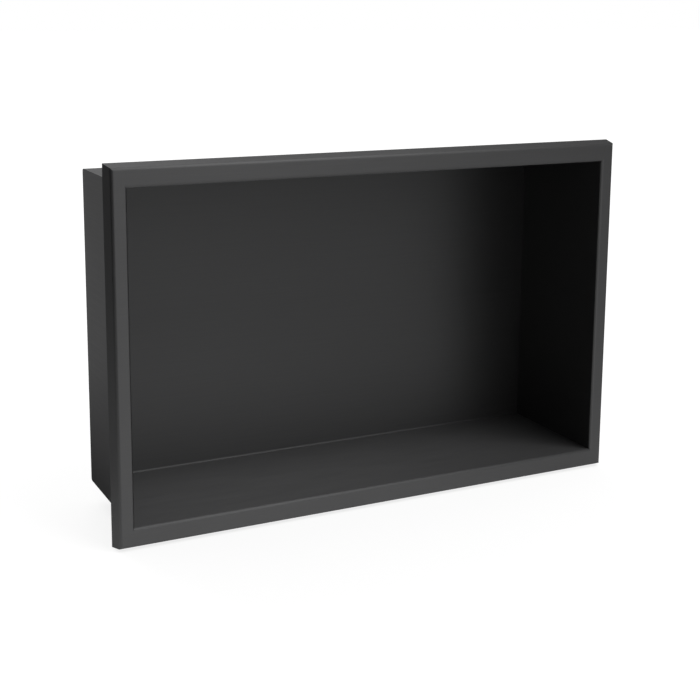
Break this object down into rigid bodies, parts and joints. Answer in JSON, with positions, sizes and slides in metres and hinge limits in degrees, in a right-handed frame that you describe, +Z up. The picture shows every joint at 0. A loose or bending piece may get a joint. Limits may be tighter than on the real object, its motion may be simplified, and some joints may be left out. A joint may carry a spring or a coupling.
{
  "type": "shower niche insert",
  "caption": "Recessed wall niche of folded sheet steel: an open-fronted rectangular box with a flat front rim and a splayed return that covers the cut edge of the wall.",
  "frame": {"origin": "centre of the opening, in the plane of the return's rear edge, where the rim meets the finished wall", "axes": "+Z up, +Y into the wall, +X to the right of someone facing the niche"},
  "size_m": [0.5286, 0.138, 0.3456],
  "materials": {
    "black_steel": "brushed, satin black"
  },
  "bodies": {
    "root": {"niche_body": "black_steel"}
  },
  "joints": []
}
